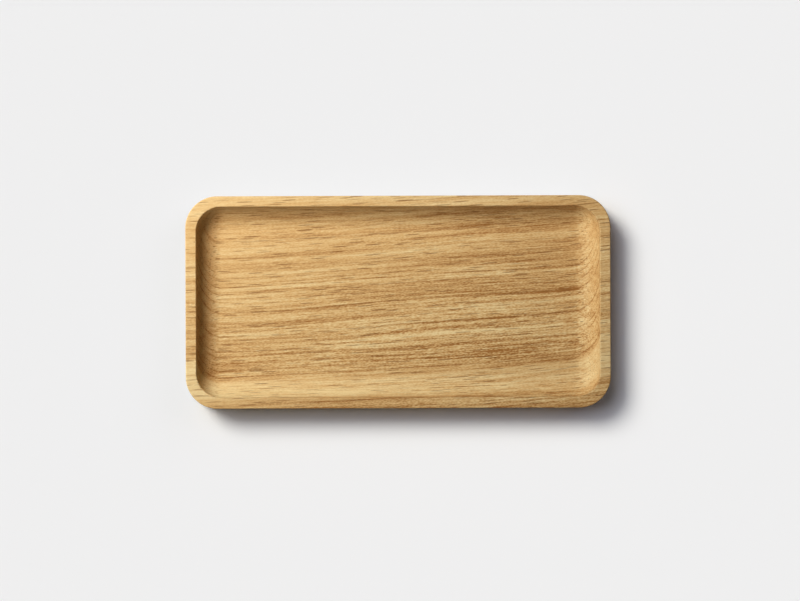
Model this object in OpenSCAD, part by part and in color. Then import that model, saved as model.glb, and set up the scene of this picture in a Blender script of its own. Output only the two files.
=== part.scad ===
// Catchall tray: a shallow desk tray milled from one oak board, standing on four stuck-on rubber feet.
// The origin is on the surface that the tray stands on, under its middle.
// X runs along the tray, Y towards its rear and Z up. All sizes are in millimetres.

/* [Oak body] */
// Length of the tray over its outer walls
tray_l = 200; // [140:1:320]
// Width of the tray over its outer walls
tray_w = 100; // [80:1:200]
// Height of the oak body, without its feet
body_h = 14; // [10:0.5:40]
// Plan radius of the outer corners
corner_r = 15; // [6:0.5:22]
// Rounding of the underside's outer edge
base_round = 1.2; // [0.2:0.1:3]

/* [Hollow] */
// Width of the rim, from the outer wall to the lip of the hollow
rim_w = 4.6; // [2.5:0.1:12]
// Thickness of the floor under the hollow
floor_t = 4; // [3:0.5:8]
// Radius of the ball-nosed cutter that mills the hollow, and so of its cove
cutter_r = 11.5; // [4:0.5:16]
// Radius of the cutter's path round the corners of the hollow
turn_r = 0.3; // [0.2:0.1:8]
// Rounding of the rim's two edges
rim_round = 0.5; // [0.2:0.1:1.2]

/* [Feet] */
// Diameter of a foot
foot_d = 10; // [6:0.5:16]
// Gap that the feet leave under the oak body
stand_h = 1; // [0.6:0.1:4]
// Rounding of a foot's lower edge
foot_round = 0.8; // [0.2:0.1:1.5]
// Distance from each outer wall to the middle of a foot
foot_inset = 16; // [12:0.5:30]
// Depth of the drilled recess that a foot sits in
recess_depth = 1.5; // [0.8:0.1:2.5]
// Gap all round a foot in its recess
recess_clearance = 0.2; // [0.05:0.05:0.5]
// Thickness of the adhesive disc over a foot
adhesive_t = 0.2; // [0.1:0.05:0.5]
// Distance that an adhesive disc stays inside the edge of its foot
adhesive_margin = 0.5; // [0.1:0.1:1.5]

/* [Hidden] */
$fn = 64;

hollow_depth = body_h - floor_t;
// Height of the centre of the lip's rounding above the hollow's floor
lip_z = hollow_depth - rim_round;
// How far that is below the centre of the cutter's ball
lip_drop = max(cutter_r - lip_z, 0);
// Distance from the cutter's path to the lip, rounded down to whole microns so that the lip meets the cove
micron = 0.001;
lip_reach = floor(sqrt(pow(cutter_r + rim_round, 2) - pow(lip_drop, 2)) / micron) * micron;
// Plan radius of the lip at the hollow's corners
lip_corner_r = turn_r + lip_reach;
// How far the lip is cut towards the cutter's path, in roundings: past 1, where it meets the cove
lip_cut = 1.5;
// Distance from the outer wall to the cutter's path, in whole steps of the milling machine
machine_step = 0.01;
path_inset = round((rim_w + lip_reach) / machine_step) * machine_step;
path_l = tray_l - 2 * path_inset;
path_w = tray_w - 2 * path_inset;

foot_h = stand_h + recess_depth - adhesive_t;
foot_x = tray_l / 2 - foot_inset;
foot_y = tray_w / 2 - foot_inset;
recess_d = foot_d + 2 * recess_clearance;
adhesive_d = foot_d - 2 * adhesive_margin;

OAK = "#c39c69";
RUBBER = "#3b3a38";
ADHESIVE = "#d9d6cc";

// The corner piece between two legs of length r and the arc that is tangent to both
module fillet(r) {
    difference() {
        square(r);
        translate([r, r]) circle(r);
    }
}

// Sweeps a section, given as child, round a rectangle of l by w with corner radius r and fills its middle:
// the section's x is the distance out from the corners' centre lines, and its y is the height, up to h.
module block_with_edge(l, w, r, h) {
    straight_l = l - 2 * r;
    straight_w = w - 2 * r;
    translate([-straight_l / 2, -straight_w / 2, 0]) cube([straight_l, straight_w, h]);
    for (end = [0, 1]) {
        mirror([end, 0, 0])
            translate([straight_l / 2, straight_w / 2, 0])
                rotate([90, 0, 0]) linear_extrude(straight_w) children();
        mirror([0, end, 0])
            translate([-straight_l / 2, straight_w / 2, 0])
                rotate([90, 0, 90]) linear_extrude(straight_l) children();
        for (side = [0, 1])
            mirror([end, 0, 0]) mirror([0, side, 0])
                translate([straight_l / 2, straight_w / 2, 0])
                    rotate_extrude(angle = 90) children();
    }
}

// Section of the outer wall: rounded a little at the rim and more at the underside
module outer_section() {
    difference() {
        square([corner_r, body_h]);
        translate([corner_r, body_h]) rotate(180) fillet(rim_round);
        translate([corner_r, 0]) rotate(90) fillet(base_round);
    }
}

// Section that the cutter leaves on its way round: a cove, with an upright wall above it in a deep hollow
module cutter_section() {
    difference() {
        square([turn_r + cutter_r, hollow_depth]);
        translate([turn_r + cutter_r, 0]) rotate(90) fillet(cutter_r);
    }
}

// Section of the hollow: the cutter's, and a lip that is tangent to the cove below it and to the rim
module hollow_section() {
    cut_share = lip_cut * rim_round / (cutter_r + rim_round);
    cut_end = [lip_corner_r - lip_reach * cut_share, lip_z + lip_drop * cut_share];
    cutter_section();
    difference() {
        polygon([[0, hollow_depth], [lip_corner_r, hollow_depth], [lip_corner_r, lip_z], cut_end]);
        translate([lip_corner_r, lip_z]) circle(rim_round);
    }
}

module at_foot(x_side, y_side) {
    translate([x_side * foot_x, y_side * foot_y, 0]) children();
}

module tray_body() {
    color(OAK)
        translate([0, 0, stand_h])
            difference() {
                block_with_edge(tray_l, tray_w, corner_r, body_h) outer_section();
                translate([0, 0, floor_t])
                    block_with_edge(path_l, path_w, turn_r, hollow_depth) hollow_section();
                for (x_side = [-1, 1], y_side = [-1, 1])
                    at_foot(x_side, y_side) cylinder(d = recess_d, h = recess_depth);
            }
}

// One rubber foot: a plain disc, rounded where it meets the surface
module foot(x_side, y_side) {
    color(RUBBER)
        at_foot(x_side, y_side)
            rotate_extrude()
                difference() {
                    square([foot_d / 2, foot_h]);
                    translate([foot_d / 2, 0]) rotate(90) fillet(foot_round);
                }
}

// One adhesive disc, between the top of a foot and the roof of its recess
module adhesive(x_side, y_side) {
    color(ADHESIVE)
        at_foot(x_side, y_side)
            translate([0, 0, foot_h]) cylinder(d = adhesive_d, h = adhesive_t);
}

tray_body();
foot(-1, -1);  // foot_front_left
foot(1, -1);  // foot_front_right
foot(-1, 1);  // foot_rear_left
foot(1, 1);  // foot_rear_right
adhesive(-1, -1);  // adhesive_front_left
adhesive(1, -1);  // adhesive_front_right
adhesive(-1, 1);  // adhesive_rear_left
adhesive(1, 1);  // adhesive_rear_right
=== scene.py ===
# Catchall tray: the looks of a milled oak desk tray on rubber feet, laid out as an add-on.
import math

import bmesh
import bpy
from mathutils import Matrix, Vector


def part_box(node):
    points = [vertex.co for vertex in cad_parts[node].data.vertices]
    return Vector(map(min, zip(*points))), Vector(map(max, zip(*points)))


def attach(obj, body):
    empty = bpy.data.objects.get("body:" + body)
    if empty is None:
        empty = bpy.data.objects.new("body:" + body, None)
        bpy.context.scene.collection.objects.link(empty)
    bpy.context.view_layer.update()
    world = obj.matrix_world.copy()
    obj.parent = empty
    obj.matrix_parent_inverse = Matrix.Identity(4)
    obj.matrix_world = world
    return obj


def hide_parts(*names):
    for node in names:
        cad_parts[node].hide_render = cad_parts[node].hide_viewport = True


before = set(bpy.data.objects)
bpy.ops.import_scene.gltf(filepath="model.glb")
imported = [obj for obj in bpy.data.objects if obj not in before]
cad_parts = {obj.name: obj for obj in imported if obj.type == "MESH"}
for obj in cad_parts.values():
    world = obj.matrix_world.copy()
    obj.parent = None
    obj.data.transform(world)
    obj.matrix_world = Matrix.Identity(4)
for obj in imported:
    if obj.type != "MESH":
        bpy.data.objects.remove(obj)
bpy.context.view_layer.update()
BODY_LOW, BODY_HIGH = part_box("tray_body")
FOOT_LOW, FOOT_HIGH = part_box("foot_front_left")
CORNERS = ("front_left", "front_right", "rear_left", "rear_right")
MM = 0.001
PER_METRE = 1000.0

# Points closer than this are one, and heights closer than this are level
MERGE = 0.001 * MM
LEVEL = 0.01 * MM
# Faces along each rounded edge, and round a foot and its recess
CORNER_SEGMENTS = 20
COVE_SEGMENTS = 32
RIM_SEGMENTS = 4
BASE_SEGMENTS = 6
FOOT_EDGE_SEGMENTS = 8
FOOT_SEGMENTS = 64
RECESS_SEGMENTS = 48
# The large faces decide how a piece is shaded beside its rounded edges
FLAT_WEIGHT = 100

bl_info = {
    "name": "Catchall tray",
    "version": (1, 0, 0),
    "blender": (4, 5, 0),
    "location": "3D View > Sidebar > Tray",
    "description": "Builds a milled oak catchall tray on rubber feet, with its stage",
    "category": "Object",
}


def linear(hex_colour):
    """An sRGB hex colour as linear red, green, blue and alpha."""
    parts = [int(hex_colour[i : i + 2], 16) / 255 for i in (1, 3, 5)]
    return (*[c / 12.92 if c <= 0.04045 else ((c + 0.055) / 1.055) ** 2.4 for c in parts], 1.0)


def length_prop(name, description, millimetres):
    """A length that a user can change."""
    return bpy.props.FloatProperty(
        name=name, description=description, default=millimetres * MM, unit="LENGTH"
    )


def colour_prop(name, description, hex_colour):
    """A colour that a user can change."""
    return bpy.props.FloatVectorProperty(
        name=name, description=description, default=linear(hex_colour), subtype="COLOR", size=4, min=0, max=1
    )


def angle_prop(name, description, degrees):
    """An angle that a user can change."""
    return bpy.props.FloatProperty(
        name=name, description=description, default=math.radians(degrees), subtype="ANGLE"
    )


def slope_prop(name, whose, run):
    """The direction of a lamp's light that a user can change."""
    description = f"Run of {whose} light to the right and to the front for each unit of drop"
    return bpy.props.FloatVectorProperty(name=name, description=description, size=2, default=run)


def add(tree, kind, inputs=None, stops=(), **settings):
    """Adds a node: its sockets as values or links, a ramp's stops as colours or greys, and its settings."""
    node = tree.nodes.new(kind)
    for name, value in settings.items():
        setattr(node, name, value)
    for key, value in (inputs or {}).items():
        socket = node.inputs[key]
        if isinstance(key, str):
            socket = next(s for s in node.inputs if s.name == key and s.enabled)
        if isinstance(value, bpy.types.NodeSocket):
            tree.links.new(value, socket)
        else:
            socket.default_value = value
    for i, (position, value) in enumerate(stops):
        elements = node.color_ramp.elements
        if i == 0:
            elements.remove(elements[1])
        stop = elements.new(position) if i else elements[0]
        stop.position = position
        stop.color = (value,) * 3 + (1,) if isinstance(value, float) else value
    return node


def new_material(name):
    """An empty node material and its tree."""
    material = bpy.data.materials.new(name)
    material.use_nodes = True
    material.node_tree.nodes.clear()
    return material, material.node_tree


def link_mesh(bm, name, material):
    """Turns a bmesh into an object of the scene with one material."""
    mesh = bpy.data.meshes.new(name)
    bm.to_mesh(mesh)
    bm.free()
    mesh.materials.append(material)
    made = bpy.data.objects.new(name, mesh)
    bpy.context.scene.collection.objects.link(made)
    return made


def finish_piece(bm, name, material, node):
    """Turns a bmesh into a smooth piece that stands for a CAD node and rides with it."""
    bmesh.ops.remove_doubles(bm, verts=bm.verts[:], dist=MERGE)
    bmesh.ops.recalc_face_normals(bm, faces=bm.faces[:])
    for face in bm.faces:
        face.smooth = True
    piece = link_mesh(bm, name, material)
    flats = piece.modifiers.new("Flat faces stay flat", "WEIGHTED_NORMAL")
    flats.weight = FLAT_WEIGHT
    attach(piece, "root")
    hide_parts(node)


class TraySizes(bpy.types.PropertyGroup):
    """Sizes of the tray's pieces"""

    corner_radius: length_prop("Corner radius", "Plan radius of the outer corners", 15.0)
    base_round: length_prop("Base rounding", "Rounding of the underside's edge", 1.2)
    floor_thickness: length_prop("Floor thickness", "Oak under the hollow", 4.0)
    cutter_radius: length_prop("Cutter radius", "Radius of the cove that the cutter leaves", 11.5)
    turn_radius: length_prop("Turn radius", "Radius of the cutter's path round a corner", 0.3)
    path_inset: length_prop("Path inset", "From the outer wall to the cutter's path", 16.43)
    rim_round: length_prop("Rim rounding", "Rounding of the rim's two edges", 0.5)
    recess_depth: length_prop("Recess depth", "Depth of the drilled recess over a foot", 1.5)
    recess_clearance: length_prop("Recess clearance", "Gap all round a foot in its recess", 0.2)
    foot_round: length_prop("Foot rounding", "Rounding of a foot's lower edge", 0.8)


def round_edges(bm, edges, radius, segments):
    """Rounds edges over, or fills them in where they are inside edges, and returns the faces there."""
    made = bmesh.ops.bevel(
        bm, geom=edges, offset=radius, offset_type="OFFSET", segments=segments,
        profile=0.5, affect="EDGES", material=-1, clamp_overlap=False,
    )
    return {f for v in made["verts"] for f in v.link_faces}


def rounded_block(bm, length, width, radius, low, high):
    """A block with round upright edges, and its lower and upper faces."""
    made = bmesh.ops.create_cube(bm, size=1.0)["verts"]
    bmesh.ops.scale(bm, vec=(length, width, high - low), verts=made)
    bmesh.ops.translate(bm, vec=(0, 0, (low + high) / 2), verts=made)
    edges = {e for v in made for e in v.link_edges}
    upright = [e for e in edges if abs(e.verts[0].co.z - e.verts[1].co.z) > (high - low) / 2]
    faces = round_edges(bm, upright, radius, CORNER_SEGMENTS)
    lower = min(faces, key=lambda f: f.calc_center_median().z)
    upper = max(faces, key=lambda f: f.calc_center_median().z)
    return lower, upper


class TRAY_OT_oak_body(bpy.types.Operator):
    """Mill the oak body: a rounded block with a coved hollow and four recesses for the feet"""

    bl_idname = "tray.oak_body"
    bl_label = "Oak body"

    def execute(self, context):
        sizes = context.scene.tray_sizes
        length, width = (BODY_HIGH - BODY_LOW).xy
        low, high = BODY_LOW.z, BODY_HIGH.z
        bm = bmesh.new()
        mouth_edges = self.mill_hollow(bm, sizes, length, width, low + sizes.floor_thickness, high)
        base, top = rounded_block(bm, length, width, sizes.corner_radius, low, high)
        base_edges = base.edges[:]
        rim_edges = top.edges[:] + mouth_edges
        mouth = list({v for e in mouth_edges for v in e.verts})
        bmesh.ops.delete(bm, geom=[top], context="FACES_ONLY")
        # Two loops in one plane bridge crosswise, so the mouth is lifted for the bridge and set down again
        lift = sizes.rim_round
        bmesh.ops.translate(bm, vec=(0, 0, lift), verts=mouth)
        bmesh.ops.bridge_loops(bm, edges=rim_edges)
        bmesh.ops.translate(bm, vec=(0, 0, -lift), verts=mouth)
        bmesh.ops.recalc_face_normals(bm, faces=bm.faces[:])
        round_edges(bm, rim_edges, sizes.rim_round, RIM_SEGMENTS)
        round_edges(bm, base_edges, sizes.base_round, BASE_SEGMENTS)
        self.drill_recesses(bm, sizes, low)
        finish_piece(bm, "oak_body", oak_material(context.scene.tray_finish), "tray_body")
        return {"FINISHED"}

    def mill_hollow(self, bm, sizes, length, width, floor, high):
        """Sweeps the cutter's cove round the hollow, up to the rim, and returns the edges of its mouth."""
        widest = 2 * (sizes.path_inset - sizes.cutter_radius)
        over_ball = floor + 2 * sizes.cutter_radius
        bottom, _ = rounded_block(
            bm, length - widest, width - widest, sizes.cutter_radius + sizes.turn_radius, floor, over_ball
        )
        round_edges(bm, bottom.edges[:], sizes.cutter_radius, COVE_SEGMENTS)
        bmesh.ops.bisect_plane(
            bm, geom=bm.verts[:] + bm.edges[:] + bm.faces[:], dist=MERGE,
            plane_co=(0, 0, high), plane_no=(0, 0, 1), clear_outer=True,
        )
        return [e for e in bm.edges if e.is_boundary]

    def drill_recesses(self, bm, sizes, low):
        """Cuts a round recess into the underside over each foot."""
        radius = (FOOT_HIGH.x - FOOT_LOW.x) / 2 + sizes.recess_clearance
        base = min(bm.faces, key=lambda f: (round(f.calc_center_median().z / MM, 3), -f.calc_area()))
        outline = base.edges[:]
        bmesh.ops.delete(bm, geom=[base], context="FACES_ONLY")
        rings = []
        for corner in CORNERS:
            foot_low, foot_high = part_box("foot_" + corner)
            centre = (foot_low + foot_high) / 2
            centre.z = low
            made = bmesh.ops.create_circle(
                bm, cap_ends=False, radius=radius, segments=RECESS_SEGMENTS, matrix=Matrix.Translation(centre)
            )["verts"]
            rings.append(list({e for v in made for e in v.link_edges}))
        bmesh.ops.triangle_fill(
            bm, use_beauty=True, edges=outline + [e for ring in rings for e in ring], normal=(0, 0, -1)
        )
        for ring in rings:
            wall = bmesh.ops.extrude_edge_only(bm, edges=ring)["geom"]
            roof = [g for g in wall if isinstance(g, bmesh.types.BMVert)]
            bmesh.ops.translate(bm, vec=(0, 0, sizes.recess_depth), verts=roof)
            bmesh.ops.contextual_create(bm, geom=[g for g in wall if isinstance(g, bmesh.types.BMEdge)])


class TRAY_OT_rubber_feet(bpy.types.Operator):
    """Mould the four rubber feet"""

    bl_idname = "tray.rubber_feet"
    bl_label = "Rubber feet"

    def execute(self, context):
        sizes = context.scene.tray_sizes
        rubber = rubber_material(context.scene.tray_finish)
        for corner in CORNERS:
            low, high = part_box("foot_" + corner)
            radius = (high.x - low.x) / 2
            bm = bmesh.new()
            bmesh.ops.create_cone(
                bm, cap_ends=True, segments=FOOT_SEGMENTS, radius1=radius, radius2=radius,
                depth=high.z - low.z, matrix=Matrix.Translation((low + high) / 2),
            )
            lower = [e for e in bm.edges if all(abs(v.co.z - low.z) < LEVEL for v in e.verts)]
            round_edges(bm, lower, sizes.foot_round, FOOT_EDGE_SEGMENTS)
            finish_piece(bm, "rubber_foot_" + corner, rubber, "foot_" + corner)
        return {"FINISHED"}


class TRAY_OT_adhesive_discs(bpy.types.Operator):
    """Give the adhesive discs over the feet their finish"""

    bl_idname = "tray.adhesive_discs"
    bl_label = "Adhesive discs"

    def execute(self, context):
        film = adhesive_material(context.scene.tray_finish)
        for corner in CORNERS:
            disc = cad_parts["adhesive_" + corner]
            disc.data.materials.clear()
            disc.data.materials.append(film)
        return {"FINISHED"}


class TrayFinish(bpy.types.PropertyGroup):
    """Colours of the tray's materials"""

    oak_pale: colour_prop("Oak, pale", "Palest bands of the oak", "#dbc28d")
    oak_middle: colour_prop("Oak, middle", "Main colour of the oak", "#c49d65")
    oak_dark: colour_prop("Oak, dark", "Darkest bands of the oak", "#936330")
    oak_pore: colour_prop("Oak, pores", "Colour of the oak's open pores", "#6d431b")
    rubber: colour_prop("Rubber", "Colour of the feet", "#3b3a38")
    adhesive: colour_prop("Adhesive", "Colour of the adhesive discs", "#d9d6cc")


# The oak's figure. Lengths are millimetres in the log, and tones go from 0, dark, to 1, pale.
# The tray's middle as seen from the log's pith, which runs along the tray, behind and below it
LOG_PLACE = (205.0, -106.0, 160.0)
# The log grew a little crooked: size of its slow swells, and their height, a millimetre or two either way
SWELL_SIZE = (120, 30, 30)
SWELL_HEIGHT = (0.0, 4.0, 3.0)
# And it bends: the grain rises about 2 degrees at the left end and 5.5 degrees at the right end
BEND = -0.00016
# A cut is along the grain up to the first share of a square cut, and across it from the second on
CUT_ALONG, CUT_ACROSS = 0.1, 0.65
# Growth rings: average width, and how fast and how far, in rings, good and bad years shift them
RING_WIDTH = 2.2
YEARS_PACE = 0.15
YEARS_SHIFT = 2.4
# Picks the years that show a bold ring
BOLD_SEED = 71.5
# Size of the patches that a ring shows in along the grain, and how much of every ring shows across it
RING_PATCH = (25, 5, 5)
RING_ACROSS = 0.12
# Through a year: a thin dark line of spring wood, then dense pale summer wood that tans towards autumn
YEAR_TONES = ((0.0, 0.42), (0.04, 0.12), (0.12, 0.15), (0.22, 0.50), (0.50, 0.61), (1.0, 0.48))
# Through the years, between two distances from the pith, from the rear rim to the front rim: pale, even,
# tan, then a pale run along the front cove. The figure is quiet in the pale runs and lively in the tan ones.
RUN_START, RUN_END = 180.0, 240.0
RUN_TONES = (
    (0.0, 0.5), (0.05, 0.5), (0.09, 0.58), (0.115, 0.56), (0.15, 0.46), (0.2, 0.5), (0.38, 0.5), (0.52, 0.45),
    (0.66, 0.43), (0.70, 0.75), (0.83, 0.79), (0.88, 0.70), (0.94, 0.28),
)
RUN_FIGURE = ((0.15, 0.95), (0.33, 1.3), (0.62, 1.8), (0.68, 1.0), (0.90, 1.0), (0.95, 1.75))
# From the left end to the right end: the figure is quieter at the left, and the colour is darker towards the
# right end
BOARD_FIGURE = ((0.0, 0.62), (0.25, 0.8), (0.5, 1.0), (0.75, 1.15), (1.0, 0.95))
DARKER_TO_THE_RIGHT = (
    (0.15, 0.0), (0.25, 0.03), (0.45, 0.0), (0.60, 0.03), (0.78, 0.085), (0.905, 0.085), (0.95, 0.02),
    (0.97, 0.04), (0.985, 0.0),
)
# The rim's top is painted paler, a painted sheen: how far down it reaches, how much figure shows through it,
# and how much it pales
SHEEN_FROM, SHEEN_FULL = 0.6, 0.1
FIGURE_UNDER_SHEEN = 0.8
PAINTED_SHEEN_TONE = 0.08
# Painted sheen: where the cutter meets the fibres at a slant, as on the end coves, the tone is painted paler
SLANT_SHEEN_TONES = ((0.05, 0.0), (0.50, 0.08), (0.75, 0.02), (1.0, 0.02))
# Bands, streaks and fibres along the grain: length, thickness and share in the tone.
# Fibres are less than a tenth of this thickness in life, too fine for the image, and are drawn as bundles.
GRAIN_LINES = (
    (220, 9, 0.25), (100, 4, 0.45), (70, 1.8, 0.5), (60, 0.6, 0.42),
    (24, 0.5, 0.34), (10, 0.45, 0.25), (4, 0.4, 0.3), (1.2, 0.35, 0.65),
)
# Pores in crowded rows in spring, and pores scattered through the year: length, spacing, and width in shares
# of the spacing in spring and later. The rows are drawn about twice as coarse as in life and the scattered
# ones several times, so that the image can show them.
PORES_IN_ROWS = (9, 0.5, 0.52, 0.0)
PORES_SCATTERED = (14, 0.8, 0.34, 0.30)
# How much of its own colour an open pore has
PORE_SHADE = 0.9
# The middle of a noise or a tone
MIDDLE = 0.5


def log_space(tree, place):
    """Millimetres in the log: the point with the grain straight along X, and its distance from the pith."""
    log = add(
        tree, "ShaderNodeMapping",
        {"Vector": place.outputs["Object"], "Scale": (PER_METRE,) * 3, "Location": LOG_PLACE},
    )
    swell_size = add(
        tree, "ShaderNodeMapping", {"Vector": log.outputs[0], "Scale": [1 / size for size in SWELL_SIZE]}
    )
    swell = add(tree, "ShaderNodeTexNoise", {"Vector": swell_size.outputs[0], "Scale": 1.0, "Detail": 1.0})
    swell_mid = add(
        tree, "ShaderNodeVectorMath", {0: swell.outputs["Color"], 1: (MIDDLE,) * 3}, operation="SUBTRACT"
    )
    crooked = add(
        tree, "ShaderNodeVectorMath", {0: swell_mid.outputs[0], 1: SWELL_HEIGHT, 2: log.outputs[0]},
        operation="MULTIPLY_ADD",
    )
    parts = add(tree, "ShaderNodeSeparateXYZ", {"Vector": crooked.outputs[0]})
    along, across, up = parts.outputs
    square = add(tree, "ShaderNodeMath", {0: along, 1: along}, operation="MULTIPLY")
    bent = add(tree, "ShaderNodeMath", {0: square.outputs[0], 1: BEND, 2: across}, operation="MULTIPLY_ADD")
    grain = add(tree, "ShaderNodeCombineXYZ", {"X": along, "Y": bent.outputs[0], "Z": up})
    from_pith = add(tree, "ShaderNodeCombineXYZ", {"X": 0.0, "Y": bent.outputs[0], "Z": up})
    radius = add(tree, "ShaderNodeVectorMath", {0: from_pith.outputs[0]}, operation="LENGTH")
    return grain.outputs[0], radius.outputs["Value"]


def end_cut(tree, place):
    """How far the cut is across the grain, from 0 along it to 1 square across, plain and as a soft step."""
    facing = add(tree, "ShaderNodeSeparateXYZ", {"Vector": place.outputs["Normal"]})
    across_grain = add(tree, "ShaderNodeMath", {0: facing.outputs["X"]}, operation="ABSOLUTE")
    endwise = add(
        tree, "ShaderNodeMapRange",
        {"Value": across_grain.outputs[0], "From Min": CUT_ALONG, "From Max": CUT_ACROSS},
        interpolation_type="SMOOTHSTEP",
    )
    return across_grain.outputs[0], endwise.outputs["Result"]


def board_place(tree, place):
    """A point's place from the board's left end, 0, to its right end, 1, and how far it lies in the painted
    sheen on the rim's top.
    """
    spot = add(tree, "ShaderNodeSeparateXYZ", {"Vector": place.outputs["Object"]})
    lengthwise = add(
        tree, "ShaderNodeMapRange",
        {"Value": spot.outputs["X"], "From Min": BODY_LOW.x, "From Max": BODY_HIGH.x},
    )
    # Painted sheen: 1 on the rim's top, fading to 0 a little way down
    rim_sheen = add(
        tree, "ShaderNodeMapRange",
        {
            "Value": spot.outputs["Z"],
            "From Min": BODY_HIGH.z - SHEEN_FROM * MM, "From Max": BODY_HIGH.z - SHEEN_FULL * MM,
        },
        interpolation_type="SMOOTHSTEP",
    )
    return lengthwise.outputs["Result"], rim_sheen.outputs["Result"]


def growth_rings(tree, grain, radius, endwise, base_tone):
    """Draws rings into a tone. Returns the season from 0 to 1, how bold the year's ring is, and the tone."""
    years = add(tree, "ShaderNodeTexNoise", {"W": radius, "Scale": YEARS_PACE}, noise_dimensions="1D")
    evenly = add(tree, "ShaderNodeMath", {0: radius, 1: 1 / RING_WIDTH}, operation="MULTIPLY")
    count = add(
        tree, "ShaderNodeMath", {0: years.outputs["Fac"], 1: YEARS_SHIFT, 2: evenly.outputs[0]},
        operation="MULTIPLY_ADD",
    )
    season = add(tree, "ShaderNodeMath", {0: count.outputs[0]}, operation="FRACT")
    year = add(tree, "ShaderNodeMath", {0: count.outputs[0]}, operation="FLOOR")
    # Some years show a bold ring and most a faint one, in patches along the grain. Cut across, all show.
    seeded = add(tree, "ShaderNodeMath", {0: year.outputs[0], 1: BOLD_SEED}, operation="ADD")
    chance = add(tree, "ShaderNodeTexWhiteNoise", {"W": seeded.outputs[0]}, noise_dimensions="1D")
    bold = add(
        tree, "ShaderNodeMapRange",
        {"Value": chance.outputs["Value"], "From Min": 0.4, "From Max": 1.0, "To Min": 0.3, "To Max": 1.0},
        interpolation_type="SMOOTHSTEP",
    )
    patch_size = add(
        tree, "ShaderNodeMapping", {"Vector": grain, "Scale": [1 / size for size in RING_PATCH]}
    )
    patches = add(tree, "ShaderNodeTexNoise", {"Vector": patch_size.outputs[0], "Scale": 1.0, "Detail": 0.0})
    patch = add(
        tree, "ShaderNodeMapRange", {"Value": patches.outputs["Fac"], "From Min": 0.38, "From Max": 0.62}
    )
    lengthwise = add(
        tree, "ShaderNodeMath", {0: bold.outputs["Result"], 1: patch.outputs["Result"]}, operation="MULTIPLY"
    )
    strength = add(
        tree, "ShaderNodeMath", {0: endwise, 1: RING_ACROSS, 2: lengthwise.outputs[0]},
        operation="MULTIPLY_ADD",
    )
    ring = add(tree, "ShaderNodeValToRGB", {"Fac": season.outputs[0]}, YEAR_TONES)
    ring_mid = add(tree, "ShaderNodeMath", {0: ring.outputs["Color"], 1: MIDDLE}, operation="SUBTRACT")
    tone = add(
        tree, "ShaderNodeMath", {0: ring_mid.outputs[0], 1: strength.outputs[0], 2: base_tone},
        operation="MULTIPLY_ADD",
    )
    return season.outputs[0], bold.outputs["Result"], tone.outputs[0]


def grain_lines(tree, grain, drawn, tone):
    """Draws bands, streaks and fibres into a tone, as strongly as drawn says, and returns the tone."""
    for length, thickness, share in GRAIN_LINES:
        size = add(
            tree, "ShaderNodeMapping",
            {"Vector": grain, "Scale": (1 / length, 1 / thickness, 1 / thickness)},
        )
        lines = add(tree, "ShaderNodeTexNoise", {"Vector": size.outputs[0], "Scale": 1.0, "Detail": 0.0})
        mid = add(tree, "ShaderNodeMath", {0: lines.outputs["Fac"], 1: MIDDLE}, operation="SUBTRACT")
        shown = add(tree, "ShaderNodeMath", {0: drawn, 1: share}, operation="MULTIPLY")
        lined = add(
            tree, "ShaderNodeMath", {0: mid.outputs[0], 1: shown.outputs[0], 2: tone},
            operation="MULTIPLY_ADD",
        )
        tone = lined.outputs[0]
    return tone


def open_pores(tree, grain, season, bold, fade):
    """How far a pore is open, from 0 to 1: tubes that the cut opens as dashes, some of them filled."""
    kinds = []
    for length, spacing, spring, later in (PORES_IN_ROWS, PORES_SCATTERED):
        size = add(
            tree, "ShaderNodeMapping", {"Vector": grain, "Scale": (1 / length, 1 / spacing, 1 / spacing)}
        )
        tubes = add(tree, "ShaderNodeTexVoronoi", {"Vector": size.outputs[0], "Scale": 1.0})
        width = add(
            tree, "ShaderNodeMapRange",
            {"Value": season, "From Min": 0.10, "From Max": 0.20, "To Min": spring, "To Max": later},
            interpolation_type="SMOOTHSTEP",
        )
        depth = add(
            tree, "ShaderNodeMath", {0: width.outputs["Result"], 1: tubes.outputs["Distance"]},
            operation="SUBTRACT",
        )
        opening = add(
            tree, "ShaderNodeMapRange", {"Value": depth.outputs[0], "From Min": -0.03, "From Max": 0.08},
            interpolation_type="SMOOTHSTEP",
        )
        filled = add(
            tree, "ShaderNodeMath", {0: opening.outputs["Result"], 1: tubes.outputs["Color"]},
            operation="MULTIPLY",
        )
        kinds.append(filled.outputs[0])
    in_rows, scattered = kinds
    # Years with a faint ring have fewer pores in rows
    crowd = add(tree, "ShaderNodeMapRange", {"Value": bold, "To Min": 0.3, "To Max": 1.0})
    rows = add(tree, "ShaderNodeMath", {0: in_rows, 1: crowd.outputs["Result"]}, operation="MULTIPLY")
    either = add(tree, "ShaderNodeMath", {0: rows.outputs[0], 1: scattered}, operation="MAXIMUM")
    pore = add(tree, "ShaderNodeMath", {0: either.outputs[0], 1: fade}, operation="MULTIPLY")
    return pore.outputs[0]


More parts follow.
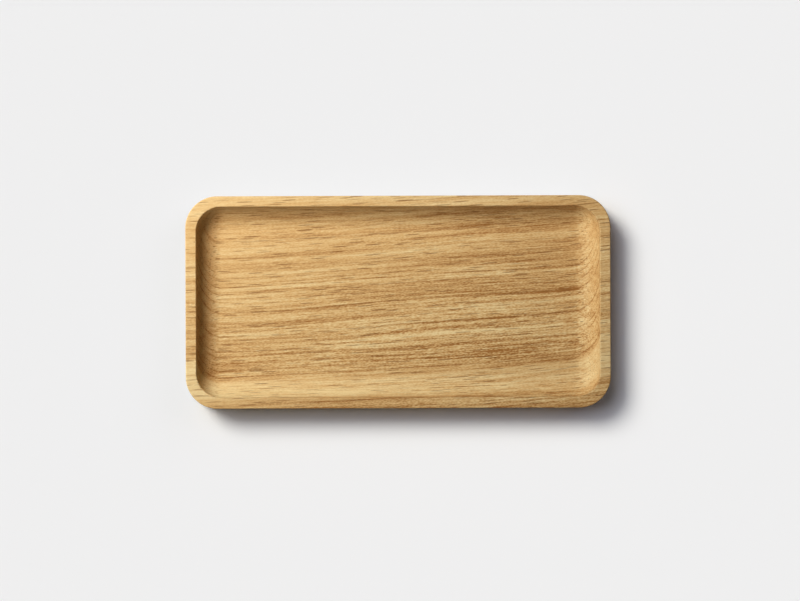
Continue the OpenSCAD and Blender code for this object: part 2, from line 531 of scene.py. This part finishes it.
def oak_material(finish):
    """Oak figured in the solid, as one piece of a log, so that each cut shows its own grain.

    Growth rings give bands along the floor and arcs on the coves at the ends, fibres give short flecks, and
    pores give dark dashes along the grain and dots across it.
    """
    material, tree = new_material("Oak, rift-sawn, milled, sanded and oiled")
    place = add(tree, "ShaderNodeTexCoord")
    grain, radius = log_space(tree, place)
    across_grain, endwise = end_cut(tree, place)
    lengthwise, rim_sheen = board_place(tree, place)
    run = add(tree, "ShaderNodeMapRange", {"Value": radius, "From Min": RUN_START, "From Max": RUN_END})
    runs = add(tree, "ShaderNodeValToRGB", {"Fac": run.outputs["Result"]}, RUN_TONES)
    season, bold, tone = growth_rings(tree, grain, radius, endwise, runs.outputs["Color"])

    # Across the grain, fibres and pores are dots too small for the image, and fade
    faded = add(tree, "ShaderNodeMapRange", {"Value": endwise, "To Min": 1.0, "To Max": 0.6})
    fade = drawn = faded.outputs["Result"]
    run_figure = add(tree, "ShaderNodeValToRGB", {"Fac": run.outputs["Result"]}, RUN_FIGURE)
    board_figure = add(tree, "ShaderNodeValToRGB", {"Fac": lengthwise}, BOARD_FIGURE)
    # Under the painted sheen on the rim's top, less of the figure shows
    quiet = add(tree, "ShaderNodeMapRange", {"Value": rim_sheen, "To Min": 1.0, "To Max": FIGURE_UNDER_SHEEN})
    for factor in (run_figure.outputs["Color"], board_figure.outputs["Color"], quiet.outputs["Result"]):
        drawn = add(tree, "ShaderNodeMath", {0: drawn, 1: factor}, operation="MULTIPLY").outputs[0]
    tone = grain_lines(tree, grain, drawn, tone)

    # Painted sheen on cuts at a slant to the grain, such as the end coves
    slant_sheen = add(tree, "ShaderNodeValToRGB", {"Fac": across_grain}, SLANT_SHEEN_TONES)
    slant_sheened = add(tree, "ShaderNodeMath", {0: tone, 1: slant_sheen.outputs["Color"]}, operation="ADD")
    # Painted sheen: the rim's top is painted paler
    paled = add(
        tree, "ShaderNodeMath", {0: rim_sheen, 1: PAINTED_SHEEN_TONE, 2: slant_sheened.outputs[0]}, operation="MULTIPLY_ADD"
    )
    # Darker towards the right end
    rightward_darkening = add(tree, "ShaderNodeValToRGB", {"Fac": lengthwise}, DARKER_TO_THE_RIGHT)
    shaded = add(
        tree, "ShaderNodeMath", {0: paled.outputs[0], 1: rightward_darkening.outputs["Color"]}, operation="SUBTRACT"
    )
    colour = add(
        tree, "ShaderNodeValToRGB", {"Fac": shaded.outputs[0]},
        ((0.0, finish.oak_dark), (0.5, finish.oak_middle), (1.0, finish.oak_pale)),
    )

    pore = open_pores(tree, grain, season, bold, fade)
    pore_shade = add(tree, "ShaderNodeMath", {0: pore, 1: PORE_SHADE}, operation="MULTIPLY")
    pored = add(
        tree, "ShaderNodeMix",
        {"Factor": pore_shade.outputs[0], "A": colour.outputs["Color"], "B": finish.oak_pore},
        data_type="RGBA",
    )
    # Matt oil that the open pores don't hold
    roughness = add(tree, "ShaderNodeMapRange", {"Value": pore, "To Min": 0.6, "To Max": 0.75})
    relief = add(
        tree, "ShaderNodeBump", {"Height": pore, "Strength": 0.6, "Distance": 0.06 * MM}, invert=True
    )
    shader = add(
        tree, "ShaderNodeBsdfPrincipled",
        {
            "Base Color": next(o for o in pored.outputs if o.enabled),
            "Roughness": roughness.outputs["Result"],
            "Specular IOR Level": 0.12, "Normal": relief.outputs["Normal"],
        },
    )
    add(tree, "ShaderNodeOutputMaterial", {"Surface": shader.outputs["BSDF"]})
    return material


def speckled_material(name, colour, grain, contrast, roughness, relief):
    """A matt material with a moulded or foamed grain: specks of a size in metres, and their relief.

    The specks are drawn a few times as coarse as in life, so that the image can show them.
    """
    material, tree = new_material(name)
    place = add(tree, "ShaderNodeTexCoord")
    specks = add(
        tree, "ShaderNodeTexNoise", {"Vector": place.outputs["Object"], "Scale": 1 / grain, "Detail": 2.0}
    )
    shade = add(
        tree, "ShaderNodeMapRange",
        {
            "Value": specks.outputs["Fac"], "From Min": 0.3, "From Max": 0.7,
            "To Min": 1 - contrast, "To Max": 1 + contrast,
        },
    )
    tinted = add(
        tree, "ShaderNodeVectorMath", {0: colour[:3], "Scale": shade.outputs["Result"]}, operation="SCALE"
    )
    # The roughness changes with the specks, this much either way
    swing = 0.1
    worn = add(
        tree, "ShaderNodeMapRange",
        {"Value": specks.outputs["Fac"], "To Min": roughness - swing, "To Max": roughness + swing},
    )
    bump = add(
        tree, "ShaderNodeBump", {"Height": specks.outputs["Fac"], "Strength": 0.7, "Distance": relief}
    )
    shader = add(
        tree, "ShaderNodeBsdfPrincipled",
        {
            "Base Color": tinted.outputs[0], "Roughness": worn.outputs["Result"],
            "Normal": bump.outputs["Normal"],
        },
    )
    add(tree, "ShaderNodeOutputMaterial", {"Surface": shader.outputs["BSDF"]})
    return material


def rubber_material(finish):
    """The spark-eroded mould leaves a fine matt grain that breaks up the light on the dark feet."""
    return speckled_material(
        "Silicone rubber, moulded, matt", finish.rubber, 0.35 * MM,
        contrast=0.25, roughness=0.68, relief=0.03 * MM,
    )


def adhesive_material(finish):
    """The cells of the foam show as a pale mottle."""
    return speckled_material(
        "Acrylic foam tape, die cut", finish.adhesive, 0.25 * MM,
        contrast=0.08, roughness=0.8, relief=0.02 * MM,
    )


# Half the side of the floor, in metres
FLOOR_REACH = 3.0
# From the lit walls to the flag along them
FLAG_GAP = 0.5 * MM
# The image: its width, how far its middle is right of and behind the tray's, in pixels, and its turn
IMAGE_WIDTH = 800
IMAGE_MIDDLE = (1.92, 1.45)
IMAGE_TURN = math.radians(-0.2)
# Width of the camera's sensor in millimetres, and how far it sees in metres
SENSOR_WIDTH = 36.0
SIGHT = 20


class StageSettings(bpy.types.PropertyGroup):
    """Floor, light and camera"""

    floor_colour: colour_prop("Floor", "Colour of the floor and of the backdrop", "#efefef")
    sun_slope: slope_prop("Sun slope", "the sun's", (0.77, 0.68))
    sun_strength: bpy.props.FloatProperty(
        name="Sun strength", description="Irradiance on the floor, square to the sun's light", default=2.55
    )
    sun_colour: colour_prop("Sun colour", "Colour of the sun over the floor", "#fffdf2")
    sun_angle: angle_prop("Sun angle", "How wide the sun is", 24)
    haze_slope: slope_prop("Haze slope", "the haze's", (0.64, 0.48))
    haze_strength: bpy.props.FloatProperty(
        name="Haze strength", description="Irradiance on the floor, square to the haze's light", default=1.75
    )
    haze_colour: colour_prop(
        "Haze colour", "Colour of the light round the sun, which is left in the half shadow", "#f1f3ff"
    )
    haze_angle: angle_prop("Haze angle", "How wide the haze round the sun is", 52)
    wall_slope: slope_prop("Wall slope", "the wall's", (-1.06, 0.9))
    wall_strength: bpy.props.FloatProperty(
        name="Wall strength", description="Irradiance on the floor, square to the wall's light", default=0.28
    )
    wall_colour: colour_prop(
        "Wall colour", "Colour of the light that a wall at the rear right throws back", "#ececff"
    )
    wall_angle: angle_prop("Wall angle", "How wide the wall's light is", 40)
    key_slope: slope_prop("Key slope", "the key lamp's", (0.83, 0.65))
    key_power: bpy.props.FloatVectorProperty(
        name="Key power", description="Power of the key lamp's upper and lower half",
        size=2, default=(2.91, 3.36), unit="POWER",
    )
    key_warm: colour_prop("Key, warm", "Colour of the key lamp's upper half", "#ffebdd")
    key_cool: colour_prop("Key, cool", "Colour of the key lamp's lower half", "#cfedff")
    key_distance: bpy.props.FloatProperty(
        name="Key distance", description="From the tray to the key lamp", default=0.8, unit="LENGTH"
    )
    key_size: bpy.props.FloatVectorProperty(
        name="Key size", description="Length of the key lamp along the left wall, and its height",
        size=2, default=(0.55, 0.30), unit="LENGTH",
    )
    key_aim: bpy.props.FloatVectorProperty(
        name="Key aim", description="Point that the key lamp faces",
        default=(-0.20, 0.33, 0), subtype="TRANSLATION",
    )
    key_spread: angle_prop("Key spread", "Angle that the key lamp's grid lets out", 110)
    card_slope: slope_prop("Card slope", "the card's", (0.8, -1.5))
    card_strength: bpy.props.FloatProperty(
        name="Card strength", description="Irradiance on the tray, square to the card's light", default=0.52
    )
    card_colour: colour_prop("Card colour", "Colour of the card's light", "#ffffff")
    card_angle: angle_prop("Card angle", "How wide the card's light is", 50)
    flag_colour: colour_prop("Flag", "Colour of the flag along the lit walls", "#808080")
    fill: bpy.props.FloatProperty(
        name="Fill", description="Strength of the light from all round", default=0.01
    )
    lens: bpy.props.FloatProperty(name="Lens", description="Focal length in millimetres", default=135.0)
    image_scale: bpy.props.FloatProperty(
        name="Image scale", description="Pixels of the image per millimetre of the rim", default=2.1267
    )


class TRAY_OT_stage(bpy.types.Operator):
    """Lay the pale floor, hang the lamps and set the camera straight above the tray"""

    bl_idname = "tray.stage"
    bl_label = "Stage"

    def execute(self, context):
        stage = context.scene.tray_stage
        context.scene.view_settings.view_transform = "Standard"
        pieces = [o for o in context.scene.objects if o.type == "MESH"]
        floor = bpy.data.collections.new("lit by the sun, its haze and the wall")
        floor.objects.link(self.lay_floor(stage))
        self.raise_flag(context, stage)
        tray = bpy.data.collections.new("lit by the key and the card")
        for piece in pieces:
            tray.objects.link(piece)
        # The floor is lit evenly from far away: by the sun, the haze round it and a wall at the rear right
        for name in ("sun", "haze", "wall"):
            self.hang_far_lamp(context, stage, name, floor)
        # A near softbox lights the tray from the sun's side, and a card at the front left lifts its rear cove
        self.hang_key(context, stage, tray)
        self.hang_far_lamp(context, stage, "card", tray)
        self.fill_room(context, stage)
        self.set_camera(context, stage)
        return {"FINISHED"}

    def lay_floor(self, stage):
        """Lays a floor of matt paper, which gives the image one even tone without gloss."""
        material, tree = new_material("Paper floor, matt")
        lit = add(tree, "ShaderNodeBsdfDiffuse", {"Color": stage.floor_colour})
        add(tree, "ShaderNodeOutputMaterial", {"Surface": lit.outputs[0]})
        bm = bmesh.new()
        bmesh.ops.create_grid(bm, x_segments=1, y_segments=1, size=FLOOR_REACH)
        floor = link_mesh(bm, "floor", material)
        return floor

    def raise_flag(self, context, stage):
        """Stands a flag along the walls that face the key lamp, to keep most of their glow off the floor.

        It is clear from within, and only thrown-back light meets it: neither the camera nor a lamp sees it.
        """
        material, tree = new_material("Grey cloth flag, clear from within")
        side = add(tree, "ShaderNodeNewGeometry")
        cloth = add(tree, "ShaderNodeBsdfDiffuse", {"Color": stage.flag_colour})
        clear = add(tree, "ShaderNodeBsdfTransparent")
        flagged = add(
            tree, "ShaderNodeMixShader",
            {0: side.outputs["Backfacing"], 1: cloth.outputs[0], 2: clear.outputs[0]},
        )
        add(tree, "ShaderNodeOutputMaterial", {"Surface": flagged.outputs[0]})
        length, width = (BODY_HIGH - BODY_LOW).xy
        radius = context.scene.tray_sizes.corner_radius
        bm = bmesh.new()
        ends = rounded_block(
            bm, length + 2 * FLAG_GAP, width + 2 * FLAG_GAP, radius + FLAG_GAP, 0, BODY_HIGH.z
        )
        to_key = Vector((-stage.key_slope[0], stage.key_slope[1], 0))
        bm.normal_update()
        shaded = [f for f in bm.faces if f.normal.dot(to_key) < 0]
        bmesh.ops.delete(bm, geom=list({*ends, *shaded}), context="FACES")
        flag = link_mesh(bm, "flag", material)
        for ray in ("camera", "glossy", "transmission", "shadow"):
            setattr(flag, "visible_" + ray, False)

    def hang(self, context, lamp, place, turn, receivers):
        """Hangs a lamp that lights a collection alone."""
        hung = bpy.data.objects.new(lamp.name, lamp)
        hung.location = place
        hung.rotation_mode = "QUATERNION"
        hung.rotation_quaternion = turn
        context.scene.collection.objects.link(hung)
        hung.light_linking.receiver_collection = receivers

    def hang_far_lamp(self, context, stage, name, receivers):
        """Hangs a far lamp by the stage's settings under its name."""
        right, front = getattr(stage, name + "_slope")
        lamp = bpy.data.lights.new(name, "SUN")
        lamp.energy = getattr(stage, name + "_strength")
        lamp.angle = getattr(stage, name + "_angle")
        lamp.color = getattr(stage, name + "_colour")[:3]
        turn = Vector((right, -front, -1)).to_track_quat("-Z", "Y")
        self.hang(context, lamp, (0, 0, 0), turn, receivers)

    def hang_key(self, context, stage, receivers):
        """Hangs the softbox, turned a little past the tray so that its light falls off to the front right.

        Its upper half is warmer, which leaves the shade in the left cove a warm brown.
        """
        right, front = stage.key_slope
        place = Vector((-right, front, 1)).normalized() * stage.key_distance
        turn = (Vector(stage.key_aim) - place).to_track_quat("-Z", "Y")
        length, height = stage.key_size
        halves = (("upper", height / 4, stage.key_warm), ("lower", -height / 4, stage.key_cool))
        for power, (name, rise, colour) in zip(stage.key_power, halves):
            lamp = bpy.data.lights.new("key_" + name, "AREA")
            lamp.energy = power
            lamp.color = colour[:3]
            lamp.shape = "RECTANGLE"
            lamp.size, lamp.size_y = length, height / 2
            lamp.spread = stage.key_spread
            self.hang(context, lamp, place + turn @ Vector((0, rise, 0)), turn, receivers)

    def fill_room(self, context, stage):
        """Lights everything faintly from all round, behind a backdrop in the floor's colour."""
        world = bpy.data.worlds.new("pale room")
        world.use_nodes = True
        tree = world.node_tree
        tree.nodes.clear()
        path = add(tree, "ShaderNodeLightPath")
        seen = add(tree, "ShaderNodeBackground", {"Color": stage.floor_colour, "Strength": 1.0})
        lit = add(tree, "ShaderNodeBackground", {"Color": (1, 1, 1, 1), "Strength": stage.fill})
        looked_at = path.outputs["Is Camera Ray"]
        for ray in ("Is Glossy Ray", "Is Transmission Ray"):
            either = add(tree, "ShaderNodeMath", {0: looked_at, 1: path.outputs[ray]}, operation="MAXIMUM")
            looked_at = either.outputs[0]
        mixed = add(tree, "ShaderNodeMixShader", {0: looked_at, 1: lit.outputs[0], 2: seen.outputs[0]})
        add(tree, "ShaderNodeOutputWorld", {"Surface": mixed.outputs[0]})
        context.scene.world = world

    def set_camera(self, context, stage):
        """Hangs the camera straight above the tray, as high as its lens needs for the image's scale."""
        data = bpy.data.cameras.new("camera")
        data.sensor_width = SENSOR_WIDTH
        data.lens = stage.lens
        data.clip_end = SIGHT
        aim = Vector((*IMAGE_MIDDLE, 0)) / stage.image_scale * MM
        distance = IMAGE_WIDTH / stage.image_scale * MM * stage.lens / SENSOR_WIDTH
        camera = bpy.data.objects.new("camera", data)
        camera.location = aim + Vector((0, 0, BODY_HIGH.z + distance))
        camera.rotation_euler = (0, 0, IMAGE_TURN)
        context.scene.collection.objects.link(camera)
        context.scene.camera = camera


class TRAY_PT_sidebar(bpy.types.Panel):
    """Lists the tray's pieces and its stage"""

    bl_label = "Catchall tray"
    bl_idname = "TRAY_PT_sidebar"
    bl_space_type = "VIEW_3D"
    bl_region_type = "UI"
    bl_category = "Tray"

    def draw(self, context):
        for operator in OPERATORS:
            self.layout.operator(operator.bl_idname)
        for group in (context.scene.tray_sizes, context.scene.tray_finish, context.scene.tray_stage):
            box = self.layout.box()
            for name in group.__annotations__:
                box.prop(group, name)


OPERATORS = (TRAY_OT_oak_body, TRAY_OT_rubber_feet, TRAY_OT_adhesive_discs, TRAY_OT_stage)
GROUPS = {"tray_sizes": TraySizes, "tray_finish": TrayFinish, "tray_stage": StageSettings}


def register():
    for cls in (*GROUPS.values(), *OPERATORS, TRAY_PT_sidebar):
        bpy.utils.register_class(cls)
    for name, group in GROUPS.items():
        setattr(bpy.types.Scene, name, bpy.props.PointerProperty(type=group))


def unregister():
    for name in GROUPS:
        delattr(bpy.types.Scene, name)
    for cls in (TRAY_PT_sidebar, *reversed(OPERATORS), *reversed(GROUPS.values())):
        bpy.utils.unregister_class(cls)


def main():
    register()
    bpy.ops.tray.oak_body()
    bpy.ops.tray.rubber_feet()
    bpy.ops.tray.adhesive_discs()
    bpy.ops.tray.stage()


if __name__ == "__main__":
    main()
